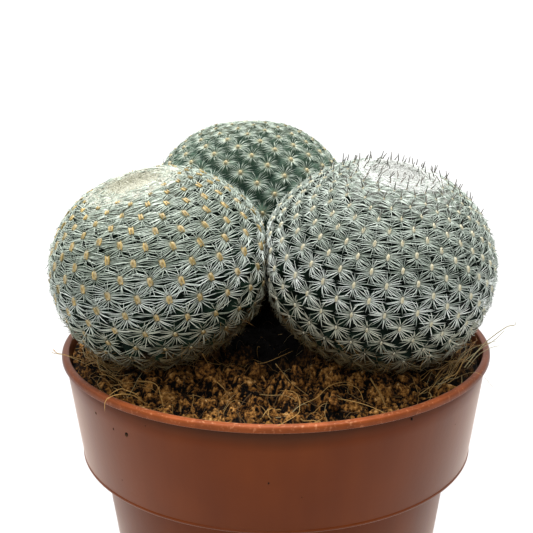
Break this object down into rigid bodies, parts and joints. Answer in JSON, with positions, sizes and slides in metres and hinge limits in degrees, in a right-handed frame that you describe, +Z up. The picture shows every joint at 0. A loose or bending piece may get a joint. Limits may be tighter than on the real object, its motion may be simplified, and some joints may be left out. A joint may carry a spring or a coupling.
{
  "type": "potted mammillaria haageana",
  "caption": "Globular spiny cacti with woolly crowns, growing together in the soil of a round tapered plastic nursery pot with a collar and a rounded lip.",
  "frame": {"origin": "middle of the pot's flat base", "axes": "+Z up along the pot's axis, -Y towards the front, where the gap between the left and right heads is seen, +X to the right"},
  "size_m": [0.1054, 0.1125, 0.1395],
  "materials": {
    "pot_plastic": "moulded red-brown polypropylene, semi-gloss",
    "potting_soil": "dry peaty potting soil with fine tan roots",
    "cactus_left": "dark green flesh under white spines, with yellow-orange stubs and a cream woolly crown",
    "cactus_right": "dark green flesh under white spines, with brown-tipped spines round a white woolly crown",
    "cactus_back": "dark green flesh under white spines with yellowish tips"
  },
  "bodies": {
    "root": {"pot": "pot_plastic", "soil": "potting_soil", "head_left": "cactus_left", "head_right": "cactus_right", "head_back": "cactus_back"}
  },
  "joints": []
}
